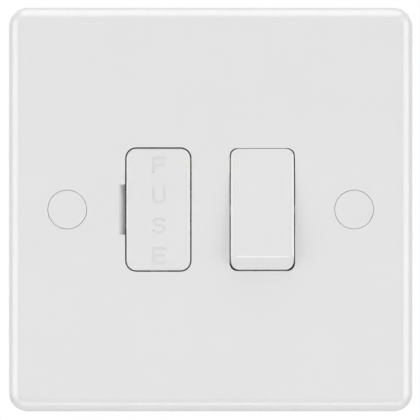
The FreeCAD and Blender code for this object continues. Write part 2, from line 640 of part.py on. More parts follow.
def fuse_clip(side):
    """Sprung U that grips one fuse cap, with lips that lead the fuse in."""
    z = sorted((side * CLIP_INNER, side * CLIP_OUTER))
    inner = FUSE_RADIUS + CLIP_FIT
    outer = inner + BRASS
    bend_y = CLIP_BASE_Y - CLIP_ARM
    lip_y = bend_y - CLIP_LIP_DEPTH
    right = [(outer, CLIP_BASE_Y + BRASS), (outer, bend_y), (outer + CLIP_LIP_OUT, lip_y),
             (inner + CLIP_LIP_OUT, lip_y), (inner, bend_y), (inner, CLIP_BASE_Y)]
    half = [(CARRIER_X + dx, y) for dx, y in right]
    other = [(CARRIER_X - dx, y) for dx, y in reversed(right)]
    return prism_along_z(half + other, z)


def fuse_clip_upper():
    """Upper clip with its tail: down beside the tower and across to the live contact."""
    outer = FUSE_RADIUS + CLIP_FIT + BRASS
    leg_x = (CARRIER_X + outer - BRASS, CARRIER_X + outer)
    strip_z = contact_strip_z()
    strip_y = (STRIP_Y, STRIP_REAR_Y)
    end_x = POLES["live"] + STRIP_HALF_WIDTH
    leg = block(leg_x, (CLIP_BASE_Y, STRIP_REAR_Y), (CLIP_INNER, strip_z[1]))
    strip = block((leg_x[0], end_x), strip_y, (CLIP_INNER, strip_z[1]))
    strip_end = block((POLES["live"] - STRIP_HALF_WIDTH, end_x), strip_y, strip_z)
    return joined([fuse_clip(1), leg, strip, strip_end]).cut(rivet_hole(strip_y, (POLES["live"], CONTACT_Z)))


def fuse_clip_lower():
    """Lower clip with its tail down to the live load terminal."""
    x = (CARRIER_X - STRIP_HALF_WIDTH, CARRIER_X + STRIP_HALF_WIDTH)
    tail = block(x, (CLIP_BASE_Y, CLIP_BASE_Y + BRASS), (-TERMINAL_INNER_Z, -CLIP_OUTER))
    leg_z = (-TERMINAL_INNER_Z, -TERMINAL_INNER_Z + BRASS)
    leg = block(x, (CLIP_BASE_Y, TERMINAL_FRONT + STRIP_LEG), leg_z)
    return joined([fuse_clip(-1), tail, leg])


def terminal(name):
    """Brass block with a wire bore and a screw hole for each way."""
    ways, side = TERMINALS[name]
    half = TERMINAL_WIDTH / 2
    z = sorted((side * TERMINAL_INNER_Z, side * END_INNER))
    body = block((min(ways) - half, max(ways) + half), (TERMINAL_FRONT, TERMINAL_REAR), z)
    body = body.makeChamfer(TERMINAL_CHAMFER, edges_at(body, TERMINAL_FRONT))
    hole_radius = TERMINAL_SCREW_RADIUS + TERMINAL_SCREW_FIT
    for x in ways:
        body = body.cut(rod("z", WIRE_BORE_RADIUS, (z[0] - OVERCUT, z[1] + OVERCUT), (x, WIRE_Y)))
        body = body.cut(rod("y", hole_radius, (WIRE_Y, TERMINAL_REAR + OVERCUT), (x, side * TERMINAL_Z)))
    return body


def terminal_screw(x, side):
    """Clamp screw, backed off so that the wire bore is open."""
    at = (x, side * TERMINAL_Z)
    tip = WIRE_Y + WIRE_BORE_RADIUS + TERMINAL_SCREW_TO_BORE
    seat = TERMINAL_REAR + TERMINAL_SCREW_RAISED
    head = slotted_head(TERMINAL_SCREW_HEAD_RADIUS, TERMINAL_SCREW_HEAD, seat, at, 1)
    return joined([head, rod("y", TERMINAL_SCREW_RADIUS, (tip, seat), at)])


def clip_tower(side):
    """Housing tower behind one fuse clip."""
    half = FUSE_RADIUS + CLIP_FIT
    z = sorted((side * (CLIP_INNER - TOWER_MARGIN), side * (CLIP_OUTER + TOWER_MARGIN)))
    x = (CARRIER_X - half, CARRIER_X + half - SLOT_FIT)
    return block(x, (CLIP_BASE_Y + BRASS, FLOOR_Y + OVERCUT), z)


def terminal_ledges(x, side):
    """Two ledges that carry a terminal clear of the housing floor."""
    z = sorted((side * TERMINAL_INNER_Z, side * (END_INNER + OVERCUT)))
    half = TERMINAL_WIDTH / 2
    y = (TERMINAL_REAR, FLOOR_Y + OVERCUT)
    return [block(span, y, z) for span in mirrored_pair(half - LEDGE_WIDTH, half, x)]


def housing_lug(x, z):
    side = math.copysign(1, x)
    y = (POST_Y, LUG_Y)
    web = sorted((side * (HOUSING_WIDTH / 2 - HOUSING_WALL / 2), x))
    return rod("y", LUG_RADIUS, y, (x, z)).fuse(block(web, y, (z - LUG_RADIUS, z + LUG_RADIUS)))


def trunnion_post(side):
    """Post that closes a trunnion's seat from behind."""
    x = sorted((ROCKER_X + side * CHAMBER_INNER, ROCKER_X + side * CHAMBER_OUTER))
    tip = PIVOT_Y + TRUNNION_RADIUS + TRUNNION_TO_POST
    half = TRUNNION_RADIUS - TRUNNION_FIT
    return block(x, (tip, PARTITION_Y + OVERCUT), (-half, half))


def housing_shell():
    """Open tub with round corners and a bevelled rear edge."""
    y = (HOUSING_FRONT_Y, HOUSING_REAR)
    outer = slab(HOUSING_WIDTH, HOUSING_HEIGHT, HOUSING_CORNER, y)
    outer = outer.makeChamfer(HOUSING_REAR_BEVEL, edges_at(outer, HOUSING_REAR))
    inner_corner = HOUSING_CORNER - HOUSING_WALL
    hollow_y = (HOUSING_FRONT_Y - OVERCUT, FLOOR_Y)
    return outer.cut(slab(2 * SIDE_INNER, 2 * END_INNER, inner_corner, hollow_y))


def housing_walls():
    """Partition beside the fuse, chamber walls and the barrier between poles."""
    z = (-END_INNER - HOUSING_WALL / 2, END_INNER + HOUSING_WALL / 2)
    full = (PARTITION_Y, FLOOR_Y + OVERCUT)
    left = CARRIER_X + PARTITION_SHIFT
    walls = [block((left - PARTITION / 2, left + PARTITION / 2), full, z)]
    walls += [block(x, full, z) for x in mirrored_pair(CHAMBER_INNER, CHAMBER_OUTER, ROCKER_X)]
    barrier = (ROCKER_X - BARRIER / 2, ROCKER_X + BARRIER / 2)
    walls.append(block(barrier, (BARRIER_FRONT, FLOOR_Y + OVERCUT), z))
    return walls


def cell_rests(pole):
    """Blade stop below and contact seat above, each from wall to barrier."""
    x = (CELLS[pole][0] - BARRIER / 4, CELLS[pole][1] + BARRIER / 4)
    stop_z = -BLADE_ARM * math.cos(TILT)
    stop = block(x, (BLADE_STOP_Y, FLOOR_Y - BRASS - SLOT_FIT), (stop_z, stop_z + STOP_RIB))
    seat = block(x, (STRIP_REAR_Y, FLOOR_Y + OVERCUT), contact_strip_z())
    tail = rod("y", RIVET_TAIL_RADIUS + SLOT_FIT, (STRIP_REAR_Y - OVERCUT, STRIP_REAR_Y + RIVET_TAIL + SLOT_FIT),
               (POLES[pole], CONTACT_Z))
    return [stop, seat.cut(tail)]


def rear_housing():
    """Dark rear moulding: tub, walls, clip towers, ledges, rests and lugs."""
    added = [housing_shell()] + housing_walls()
    added += [clip_tower(1), clip_tower(-1), trunnion_post(-1), trunnion_post(1)]
    added += [rest for pole in POLES for rest in cell_rests(pole)]
    removed = []
    for x, side in WIRE_WAYS:
        wall = sorted((side * (END_INNER - OVERCUT), side * (HOUSING_HEIGHT / 2 + OVERCUT)))
        added += terminal_ledges(x, side)
        removed.append(rod("z", ENTRY_RADIUS, wall, (x, WIRE_Y)))
        removed.append(rod("y", DRIVER_HOLE_RADIUS, (FLOOR_Y - OVERCUT, HOUSING_REAR + OVERCUT), (x, side * TERMINAL_Z)))
    for x, z in lug_places():
        added.append(housing_lug(x, z))
        removed.append(rod("y", LUG_HOLE_RADIUS, (POST_Y - OVERCUT, LUG_Y + OVERCUT), (x, z)))
    slot_x = (CARRIER_X + PARTITION_SHIFT - PARTITION, ROCKER_X - CHAMBER_INNER)
    slot_z = (CLIP_INNER - SLOT_FIT, contact_strip_z()[1] + SLOT_FIT)
    removed.append(block(slot_x, (PARTITION_Y - OVERCUT, STRIP_REAR_Y), slot_z))
    return joined(added).cut(removed)


def parts():
    """Every node by name: one solid, or a list of like solids."""
    nodes = {
        "front_plate": front_plate(),
        "rear_housing": rear_housing(),
        "housing_screws": [housing_screw(x, z) for x, z in lug_places()],
        "fixing_screws": [fixing_screw(-1), fixing_screw(1)],
        "screw_cap_left": screw_cap(-1),
        "screw_cap_right": screw_cap(1),
        "rocker": rocker(),
        "fuse_carrier": fuse_carrier(),
        "fuse_barrel": fuse_barrel(),
        "fuse_caps": [fuse_cap(-1), fuse_cap(1)],
        "fuse_clip_upper": fuse_clip_upper(),
        "fuse_clip_lower": fuse_clip_lower(),
        "fixed_contact_neutral": fixed_contact_neutral(),
        "fixed_rivets": [rivet(FIXED_FACE_Y, -1, (x, CONTACT_Z)) for x in POLES.values()],
        "terminal_screws": [terminal_screw(x, side) for x, side in WIRE_WAYS],
    }
    for name in TERMINALS:
        nodes[name] = terminal(name)
    for pole in POLES:
        nodes["plunger_" + pole] = plunger(pole)
        nodes["plunger_spring_" + pole] = plunger_spring(pole)
        nodes["moving_contact_" + pole] = moving_contact(pole)
        nodes["moving_rivet_" + pole] = moving_rivet(pole)
        nodes["contact_bracket_" + pole] = contact_bracket(pole)
    return nodes


def write_parts():
    os.makedirs("parts", exist_ok=True)
    for name, made in parts().items():
        solids = made if isinstance(made, list) else made.Solids
        shape = solids[0] if len(solids) == 1 else Part.makeCompound(solids)
        shape.exportStep("parts/" + name + ".step")
        print(name, len(solids), round(shape.Volume, 2), shape.isValid())


write_parts()
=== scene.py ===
import json
import math

import bmesh
import bpy
from mathutils import Matrix, Vector

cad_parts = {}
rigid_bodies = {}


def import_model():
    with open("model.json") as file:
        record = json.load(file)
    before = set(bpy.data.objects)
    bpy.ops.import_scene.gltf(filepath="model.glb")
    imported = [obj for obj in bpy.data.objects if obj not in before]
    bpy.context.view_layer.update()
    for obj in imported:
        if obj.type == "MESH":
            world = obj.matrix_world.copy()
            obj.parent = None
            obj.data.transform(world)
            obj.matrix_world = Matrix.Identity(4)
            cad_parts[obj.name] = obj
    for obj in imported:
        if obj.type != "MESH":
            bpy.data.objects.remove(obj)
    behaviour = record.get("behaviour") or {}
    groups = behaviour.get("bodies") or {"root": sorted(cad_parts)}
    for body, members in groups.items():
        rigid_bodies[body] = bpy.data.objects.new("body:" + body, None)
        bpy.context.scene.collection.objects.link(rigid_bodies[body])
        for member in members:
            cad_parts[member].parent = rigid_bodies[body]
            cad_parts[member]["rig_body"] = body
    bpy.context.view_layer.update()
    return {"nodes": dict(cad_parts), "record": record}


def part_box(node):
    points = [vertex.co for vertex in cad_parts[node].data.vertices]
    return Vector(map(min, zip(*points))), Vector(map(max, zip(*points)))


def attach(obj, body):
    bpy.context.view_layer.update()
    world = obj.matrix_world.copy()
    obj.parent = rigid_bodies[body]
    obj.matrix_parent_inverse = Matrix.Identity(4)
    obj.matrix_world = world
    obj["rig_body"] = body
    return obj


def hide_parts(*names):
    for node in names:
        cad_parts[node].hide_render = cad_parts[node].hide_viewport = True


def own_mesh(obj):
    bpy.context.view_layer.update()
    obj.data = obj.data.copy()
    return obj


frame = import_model()

# Lengths below are in millimetres unless a comment says otherwise
MM = 0.001

# Points closer than this, in metres, are one point
WELD = 1e-7

# Radius of a ring that stands for a point on the axis of a turned piece
AXIS_RADIUS = 0.0005

# How far a cutter reaches past what it cuts, and how far a test of place reaches past a face
OVERCUT = 1.0
SLIVER = 0.01


def node_box(node):
    """Low and high corner of a CAD node in millimetres."""
    low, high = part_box(node)
    return low / MM, high / MM


PLATE_LOW, PLATE_HIGH = node_box("front_plate")
FACE_Y = PLATE_LOW.y
PLATE_SIZE = PLATE_HIGH.x - PLATE_LOW.x

# Camera: the photograph looks straight at the face from about a metre
PIXELS = 420
PIXEL = 0.21018
CAMERA_DISTANCE = 1000.0
SENSOR = 36.0
PLATE_CENTRE_PX = (210.69, 209.55)

# Front plate: everything in front of the seam is remade with finer edges
SEAM_DEPTH = 2.75
PLATE_CORNER = 4.0
EDGE_ACROSS = 2.9
EDGE_DEEP = 2.45
OPENING_ROUND = 0.16
ROCKER_OPENING = (6.85, 12.9)
FIXING_X = 30.15
CAP_RADIUS = 4.05
CAP_GAP = 0.08
CAP_ROUND = 0.12
CAP_EDGE = 0.15
CAP_THICKNESS = 1.2
CAP_SKIRT_WALL = 0.55
NOTCH_HALF_HEIGHT = 5.25
NOTCH_WIDTH = 1.3
NOTCH_FLARE = 0.75
NOTCH_FLARE_START = 0.6
NOTCH_START = 0.1
NOTCH_DEPTH = 1.5
NOTCH_STEPS = 12

# Fuse carrier
CARRIER_X = -11.0
CARRIER_WIDTH = 13.45
CARRIER_HEIGHT = 25.65
CARRIER_CORNER = 2.1
CARRIER_GAP = 0.25
CARRIER_ROUND = 0.45
CARRIER_SEAM_DEPTH = 1.95
POCKET_HALF_HEIGHT = 5.0
POCKET_FRONT = 0.9
POCKET_DEPTH = 0.9

# Letters on the carrier, cut in from their own centre lines
LETTER_WIDTH = 2.3
LETTER_HEIGHT = 3.0
LETTER_STROKE = 0.56
LETTER_SLOPE = 0.05
LETTER_DEPTH = 0.05
MITRE_LIMIT = 0.4
LETTER_TOP_Z = 9.37
LETTER_STEP = 6.36
LETTER_X = -10.87
F_BAR_REACH = 0.7
E_BAR_REACH = 0.75
E_BAR_RAISE = 0.05
S_OPENING = 25.0

# Rocker, about its own pivot
ROCKER_X = 10.85
ROCKER_WIDTH = 13.3
ROCKER_PIVOT_Y = FACE_Y + 2.0
ROCKER_TILT = 6.0
ROCKER_RISE = 3.2
ROCKER_RIDGE = 10.28
ROCKER_FACET_ANGLE = 44.5
ROCKER_END_RADIUS = 12.8
ROCKER_TOP_REACH = 12.58
ROCKER_SKIRT = 3.5
ROCKER_WALL = 1.3
ROCKER_SKIN = 1.8
ROCKER_CORNER = 1.85
ROCKER_WAY_CORNER = 1.6
ROCKER_SIDE_ROUND = 0.5
RIDGE_ROUND = 0.9
# Strip on the ridge's crest that gets a painted highlight: its half length, its span about the ridge and
# its depth
RIDGE_LINE_HALF = 5.5
RIDGE_LINE_SPAN = (-0.05, 0.12)
RIDGE_LINE_DEPTH = 0.2
ROCKER_TOP_ROUND = 0.3
ROCKER_FOOT_ROUND = 0.7
ROCKER_FOOT_ANGLE = 4.0
CORNER_STEP = 4.5
SIDE_STEP = 9.0
POLE_OFFSET = 3.3
TUBE_RADII = (1.8, 2.5)
TUBE_START = 0.5
TUBE_END = 9.5
TUBE_SINK = 0.3
TUBE_CHAMFER = 0.15
BORE_CHAMFER = 0.1
TRUNNION_RADIUS = 1.0
TRUNNION_LENGTH = 1.3
TRUNNION_FIT = 0.05
TRUNNION_WAY = 1.6
ROCKER_SQUEEZE_START = 10.9

# Screws and springs
SLOT_WIDTH = 0.9
SLOT_DEPTH = 1.0
HEAD_OVERLAP = 0.2
NECK_OVERLAP = 0.3
THREAD_DEPTH = 0.3
THREAD_STEPS = 24
THREAD_ROWS = 6
THREAD_TIP = 0.25
FIXING_HEAD_RADIUS = 3.3
FIXING_HEAD_HEIGHT = 2.0
FIXING_NECK_RADIUS = 1.4
FIXING_THREAD_RADIUS = 1.75
FIXING_THREAD_START = -0.3
FIXING_PITCH = 0.6
HOUSING_HEAD_RADIUS = 2.5
HOUSING_HEAD_HEIGHT = 1.5
HOUSING_SHANK_RADIUS = 1.25
HOUSING_PITCH = 1.0
TERMINAL_HEAD_RADIUS = 2.3
TERMINAL_HEAD_HEIGHT = 2.0
TERMINAL_SHANK_RADIUS = 1.7
TERMINAL_PITCH = 0.7
TERMINALS = ("terminal_live_supply", "terminal_neutral_supply",
             "terminal_live_load", "terminal_neutral_load", "terminal_earth")
EARTH_PITCH = 8.0
WIDE_TERMINAL = 10.0

# Pan head from its middle to its seat, as shares of its radius and height
HEAD_SHAPE = ((0.0, 1.0), (0.55, 1.0), (0.8, 0.93), (0.94, 0.75), (1.0, 0.45), (1.0, 0.0), (0.0, 0.0))

SPRING_WIRE = 0.2
SPRING_RADIUS = 1.45
SPRING_TURNS = 4
SPRING_STEPS = 24
SPRING_START = 1.1
SPRING_END = 4.8

# Small bevels on the edges of the other pieces
SOFT_EDGES = {
    "rear_housing": 0.15, "fuse_clip_upper": 0.12, "fuse_clip_lower": 0.12, "fixed_contact_neutral": 0.12,
    "fixed_rivets": 0.15, "moving_rivet_live": 0.15, "moving_rivet_neutral": 0.15, "fuse_barrel": 0.08,
    "fuse_caps": 0.12, "plunger_live": 0.1, "plunger_neutral": 0.1, "moving_contact_live": 0.12,
    "moving_contact_neutral": 0.12, "contact_bracket_live": 0.1, "contact_bracket_neutral": 0.1,
    "terminal_live_supply": 0.2, "terminal_neutral_supply": 0.2, "terminal_live_load": 0.2,
    "terminal_neutral_load": 0.2, "terminal_earth": 0.2,
}

# Surroundings
WORLD_FILL = 0.12
FLOOR_SIZE = 6000.0
FLOOR_Z = -600.0
FLOOR_TINT = (0.8, 0.8, 0.8)
FLOOR_LIFT = 0.32
FLOOR_ROUGHNESS = 0.8

# Lamps: place and size in metres, power in watts
LAMPS = {
    "left_box": ((-0.88, -0.52, 0.0), (0.8, 1.1), 6.2),
    "right_box": ((0.88, -0.52, 0.0), (0.8, 1.1), 6.2),
    "top_box": ((0.0, -0.3, 1.0), (1.2, 1.1), 8.8),
    "low_box": ((0.0, -0.43, -0.56), (0.9, 0.28), 1.45),
}

# Colours as linear values
WHITE_UREA = (0.75, 0.75, 0.75)
# The letter grooves are painted darker than the plastic: painted shade in the strokes
LETTER_SHADE_GREY = (0.69, 0.69, 0.69)
# The ridge's crest is painted lighter than the plastic: a painted highlight line
RIDGE_HIGHLIGHT_WHITE = (0.92, 0.92, 0.92)
DARK_BASE = (0.022, 0.022, 0.024)
NYLON = (0.78, 0.74, 0.64)
BRASS = (0.78, 0.56, 0.24)
STEEL = (0.62, 0.63, 0.65)
SPRING_STEEL = (0.45, 0.45, 0.47)
# Driver slots are painted near black: painted shade inside the slots
SLOT_SHADE_STEEL = (0.1, 0.1, 0.1)
SILVER = (0.86, 0.86, 0.84)
NICKEL = (0.75, 0.74, 0.71)
CERAMIC = (0.84, 0.82, 0.76)

# Size of the surface noise, how much it changes the gloss, and the shades of a metal
FLOW_SCALE = 60.0
DRAWN_SCALE = 900.0
PATCH_SCALE = 220.0
PLASTIC_GLOSS_CHANGE = 0.03
METAL_GLOSS_CHANGE = 0.07
METAL_SHADES = (0.86, 1.06)
TINT_SPAN = (0.3, 0.7)


# Materials
def new_material(name):
    """Material with its node tree and its shader."""
    material = bpy.data.materials.new(name)
    material.use_nodes = True
    tree = material.node_tree
    shader = tree.nodes["Principled BSDF"]
    return material, tree, shader


def noise_node(tree, scale, detail, roughness=0.5):
    """Noise in object space, in metres, so that it is the same in every view."""
    place = tree.nodes.new("ShaderNodeTexCoord")
    noise = tree.nodes.new("ShaderNodeTexNoise")
    noise.inputs["Scale"].default_value = scale
    noise.inputs["Detail"].default_value = detail
    noise.inputs["Roughness"].default_value = roughness
    tree.links.new(place.outputs["Object"], noise.inputs["Vector"])
    return noise


def vary(tree, source, low, high, target):
    """Map a 0 to 1 value onto a shader input between two values."""
    span = tree.nodes.new("ShaderNodeMapRange")
    span.inputs["To Min"].default_value = low
    span.inputs["To Max"].default_value = high
    tree.links.new(source, span.inputs["Value"])
    tree.links.new(span.outputs["Result"], target)


def tint(tree, source, dark, light, target):
    """Map the middle of a 0 to 1 value onto two colours."""
    ramp = tree.nodes.new("ShaderNodeValToRGB")
    ramp.color_ramp.elements[0].position = TINT_SPAN[0]
    ramp.color_ramp.elements[0].color = (*dark, 1.0)
    ramp.color_ramp.elements[1].position = TINT_SPAN[1]
    ramp.color_ramp.elements[1].color = (*light, 1.0)
    tree.links.new(source, ramp.inputs["Fac"])
    tree.links.new(ramp.outputs["Color"], target)


def bump(tree, shader, source, height):
    """Relief of a given height, in metres, from a 0 to 1 value."""
    node = tree.nodes.new("ShaderNodeBump")
    node.inputs["Strength"].default_value = 1.0
    node.inputs["Distance"].default_value = height
    tree.links.new(source, node.inputs["Height"])
    tree.links.new(node.outputs["Normal"], shader.inputs["Normal"])


def scaled(colour, factor):
    """Lighter or darker colour."""
    return tuple(min(channel * factor, 1.0) for channel in colour)


def moulded_plastic(name, colour, gloss, grain, grain_height, colour_change, specular=0.5):
    """Moulded plastic: slight flow marks in colour, fine grain, uneven gloss."""
    material, tree, shader = new_material(name)
    shader.inputs["Specular IOR Level"].default_value = specular
    flow = noise_node(tree, FLOW_SCALE, 3.0)
    fine = noise_node(tree, grain, 2.0)
    tint(tree, flow.outputs["Fac"], scaled(colour, 1 - colour_change), scaled(colour, 1 + colour_change),
         shader.inputs["Base Color"])
    vary(tree, flow.outputs["Fac"], gloss - PLASTIC_GLOSS_CHANGE, gloss + PLASTIC_GLOSS_CHANGE,
         shader.inputs["Roughness"])
    bump(tree, shader, fine.outputs["Fac"], grain_height)
    return material


def worked_metal(name, colour, gloss, stretch, grain_height):
    """Rolled or drawn metal: fine lines along one axis and a mottled gloss."""
    material, tree, shader = new_material(name)
    shader.inputs["Metallic"].default_value = 1.0
    lines = noise_node(tree, DRAWN_SCALE, 4.0, 0.6)
    place = lines.inputs["Vector"].links[0].from_node
    mapping = tree.nodes.new("ShaderNodeMapping")
    mapping.inputs["Scale"].default_value = stretch
    tree.links.new(place.outputs["Object"], mapping.inputs["Vector"])
    tree.links.new(mapping.outputs["Vector"], lines.inputs["Vector"])
    patches = noise_node(tree, PATCH_SCALE, 3.0)
    dark, light = (scaled(colour, factor) for factor in METAL_SHADES)
    tint(tree, patches.outputs["Fac"], dark, light, shader.inputs["Base Color"])
    vary(tree, lines.outputs["Fac"], gloss - METAL_GLOSS_CHANGE, gloss + METAL_GLOSS_CHANGE,
         shader.inputs["Roughness"])
    bump(tree, shader, lines.outputs["Fac"], grain_height)
    return material


def make_materials():
    """Plastics by roughness, grain, grain height, colour change and specular level;
    metals by roughness, the stretch of their lines and grain height."""
    return {
        "white_plastic": moulded_plastic("white_urea", WHITE_UREA, 0.21, 2600.0, 0.000004, 0.006, 0.85),
        # Matte faces in the letter grooves whose darker colour is painted shade
        "letter_painted_shade": moulded_plastic("matte_urea_painted_shade", LETTER_SHADE_GREY, 0.5, 2600.0, 0.000006, 0.006, 0.4),
        # Glossier strip on the ridge whose lighter colour is a painted highlight
        "ridge_highlight_strip": moulded_plastic("glossy_urea_painted_highlight", RIDGE_HIGHLIGHT_WHITE, 0.12, 2600.0, 0.000002, 0.006, 1.0),
        "dark_plastic": moulded_plastic("dark_moulding", DARK_BASE, 0.42, 1800.0, 0.00002, 0.12),
        "nylon": moulded_plastic("natural_nylon", NYLON, 0.4, 2400.0, 0.00001, 0.04),
        "brass": worked_metal("rolled_brass", BRASS, 0.3, (1.0, 1.0, 0.08), 0.000006),
        "zinc_steel": worked_metal("plated_steel", STEEL, 0.32, (1.0, 0.1, 1.0), 0.000005),
        # Near-black, rougher steel for the driver slots: painted shade
        "slot_painted_shade": worked_metal("slot_painted_shade", SLOT_SHADE_STEEL, 0.5, (0.1, 1.0, 1.0), 0.000008),
        "spring_steel": worked_metal("spring_wire", SPRING_STEEL, 0.28, (1.0, 1.0, 0.2), 0.000003),
        "silver": worked_metal("silver_alloy", SILVER, 0.26, (1.0, 1.0, 1.0), 0.000004),
        "nickel": worked_metal("nickel_plate", NICKEL, 0.2, (1.0, 1.0, 0.1), 0.000003),
        "ceramic": moulded_plastic("glazed_ceramic", CERAMIC, 0.25, 3000.0, 0.000006, 0.03),
    }


# Outlines and closed meshes
def arc(centre, radius, start, end, steps):
    """Points on a circle between two angles in degrees."""
    angles = [math.radians(start + (end - start) * i / steps) for i in range(steps + 1)]
    return [(centre[0] + radius * math.cos(a), centre[1] + radius * math.sin(a)) for a in angles]


def round_rectangle(half_width, half_height, corner, centre=(0.0, 0.0), steps=12):
    """Front view outline as (x, z) points."""
    x = half_width - corner
    z = half_height - corner
    points = []
    for turn, (sx, sz) in enumerate(((1, 1), (-1, 1), (-1, -1), (1, -1))):
        place = (centre[0] + sx * x, centre[1] + sz * z)
        points += arc(place, corner, 90 * turn, 90 * turn + 90, steps)
    return points


def circle(radius, centre, steps=64):
    """Points round a whole circle."""
    return arc(centre, radius, 0.0, 360.0, steps)[:-1]


def linked(name, data):
    """New object in the scene for a mesh, lamp or camera."""
    made = bpy.data.objects.new(name, data)
    bpy.context.scene.collection.objects.link(made)
    return made


def welded(mesh):
    """Editable copy of a mesh, with the points that coincide made one."""
    shape = bmesh.new()
    shape.from_mesh(mesh)
    bmesh.ops.remove_doubles(shape, verts=shape.verts, dist=WELD)
    return shape


def object_from(name, shape):
    """New object from an edited mesh, which is used up."""
    mesh = bpy.data.meshes.new(name)
    shape.to_mesh(mesh)
    shape.free()
    return linked(name, mesh)


def mesh_object(name, points, faces):
    """Object from points in millimetres, with its faces turned outward."""
    mesh = bpy.data.meshes.new(name)
    mesh.from_pydata([Vector(p) * MM for p in points], [], faces)
    shape = welded(mesh)
    bmesh.ops.recalc_face_normals(shape, faces=shape.faces)
    shape.to_mesh(mesh)
    shape.free()
    return linked(name, mesh)


def loft(name, rings):
    """Closed mesh through rings of equal length, capped at both ends."""
    count = len(rings[0])
    points = [p for ring in rings for p in ring]
    faces = [tuple(range(count)), tuple(range(len(points) - count, len(points)))]
    for row in range(len(rings) - 1):
        low = row * count
        for i in range(count):
            j = (i + 1) % count
            faces.append((low + i, low + j, low + count + j, low + count + i))
    return mesh_object(name, points, faces)


def stack(name, outline, levels):
    """Loft of front view outlines; levels holds how far each grows and its depth."""
    rings = [[(x, y, z) for x, z in outline(grow)] for grow, y in levels]
    return loft(name, rings)


def flared(back, radius, steps=6):
    """Levels of a cutter that leaves a rounded edge where it meets the face."""
    levels = [(0.0, back)]
    for i in range(steps + 1):
        angle = math.radians(90.0 * i / steps)
        levels.append((radius * (1 - math.cos(angle)), FACE_Y + radius * (1 - math.sin(angle))))
    return levels + [(radius, FACE_Y - OVERCUT)]


def rounded_front(back, across, deep, steps=14):
    """Levels of a block whose front edge is a quarter of an ellipse."""
    levels = [(0.0, back)]
    for i in range(steps + 1):
        angle = math.radians(90.0 * i / steps)
        levels.append((-across * (1 - math.cos(angle)), FACE_Y + deep * (1 - math.sin(angle))))
    return levels


def prism(name, outline, near, far):
    """Front view outline carried from one depth to another."""
    return loft(name, [[(x, y, z) for x, z in outline] for y in (near, far)])


def cuboid(name, low, high):
    """Block between two opposite corners."""
    outline = [(low[0], low[2]), (high[0], low[2]), (high[0], high[2]), (low[0], high[2])]
    return prism(name, outline, low[1], high[1])


def lathe(name, profile, centre, steps=48):
    """Turned piece about a line along Y; the profile holds (radius, y) points."""
    rings = []
    for radius, y in profile:
        ring = circle(max(radius, AXIS_RADIUS), centre, steps)
        rings.append([(x, y, z) for x, z in ring])
    return loft(name, rings)


def rod_x(name, radius, low, high, centre, steps=32):
    """Rod along X; the centre is (y, z)."""
    ring = circle(radius, centre, steps)
    return loft(name, [[(x, y, z) for y, z in ring] for x in (low, high)])


# Changes to meshes
def drop(made):
    """Take an object out of the scene."""
    bpy.data.objects.remove(made)


def applied(made):
    """Make the result of an object's modifiers its own mesh."""
    bpy.context.view_layer.update()
    seen = made.evaluated_get(bpy.context.evaluated_depsgraph_get())
    mesh = bpy.data.meshes.new_from_object(seen)
    made.modifiers.clear()
    made.data = mesh
    return made


def combine(made, others, operation):
    """Cut or add other solids, which are used up."""
    for other in others:
        step = made.modifiers.new("step", "BOOLEAN")
        step.solver = "EXACT"
        step.operation = operation
        step.object = other
        applied(made)
        drop(other)
    return made


def merged(name, pieces):
    """One object from several meshes that are left as they are."""
    shape = bmesh.new()
    for piece in pieces:
        shape.from_mesh(piece.data)
        drop(piece)
    return object_from(name, shape)


def moved(made, matrix):
    """Place a mesh by a matrix."""
    made.data.transform(matrix)
    return made


def rear_of(node, y):
    """The stretch of a CAD node behind a depth, as a new object."""
    shape = welded(frame["nodes"][node].data)
    everything = shape.verts[:] + shape.edges[:] + shape.faces[:]
    bmesh.ops.bisect_plane(shape, geom=everything, plane_co=(0.0, y * MM, 0.0), plane_no=(0.0, 1.0, 0.0),
                           clear_inner=True)
    bmesh.ops.dissolve_limit(shape, angle_limit=math.radians(0.5), verts=shape.verts, edges=shape.edges)
    return object_from(node + "_rear", shape)


def finished(made, slot, body, nodes, sharp=32.0):
    """Shade a piece, give it its material and let it stand for its CAD nodes."""
    for face in made.data.polygons:
        face.use_smooth = True
    made.data.set_sharp_from_angle(angle=math.radians(sharp))
    even = made.modifiers.new("even", "WEIGHTED_NORMAL")
    even.keep_sharp = True
    made.data.materials.clear()
    made.data.materials.append(materials[slot])
    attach(made, body)
    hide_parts(*nodes)
    return made


def repaint(made, slot, chosen):
    """Give another material to the faces whose centre, in millimetres, passes a test."""
    made.data.materials.append(materials[slot])
    for face in made.data.polygons:
        if chosen(face.center / MM):
            face.material_index = 1
    return made


def softened(node, body, width, sharp=30.0):
    """CAD node with its sharp edges broken by a small bevel."""
    shape = welded(frame["nodes"][node].data)
    bmesh.ops.dissolve_limit(shape, angle_limit=math.radians(1.0), verts=shape.verts, edges=shape.edges)
    made = object_from(node + "_fine", shape)
    edge = made.modifiers.new("edge", "BEVEL")
    edge.width = width * MM
    edge.segments = 3
    edge.limit_method = "ANGLE"
    edge.angle_limit = math.radians(sharp)
    edge.use_clamp_overlap = True
    applied(made)
    slot = next(row["material_slot"] for row in frame["record"]["subparts"] if row["node"] == node)
    return finished(made, slot, body, [node])


# Front plate
def plate_outline(grow):
    """Plate in front view."""
    half = PLATE_SIZE / 2 + grow
    return round_rectangle(half, half, PLATE_CORNER + grow)


def carrier_outline(grow):
    """Fuse carrier in front view."""
    size = (CARRIER_WIDTH / 2 + grow, CARRIER_HEIGHT / 2 + grow)
    return round_rectangle(*size, CARRIER_CORNER + grow, (CARRIER_X, 0.0))


def carrier_way(grow):
    """Opening for the fuse carrier."""
    return carrier_outline(CARRIER_GAP + grow)


def rocker_way(grow):
    """Opening for the rocker."""
    size = (ROCKER_OPENING[0] + grow, ROCKER_OPENING[1] + grow)
    return round_rectangle(*size, ROCKER_WAY_CORNER + grow, (ROCKER_X, 0.0))


def cap_way(side):
    """Recess for the screw cap at one side."""
    def outline(grow):
        return circle(CAP_RADIUS + CAP_GAP + grow, (side * FIXING_X, 0.0))
    return outline


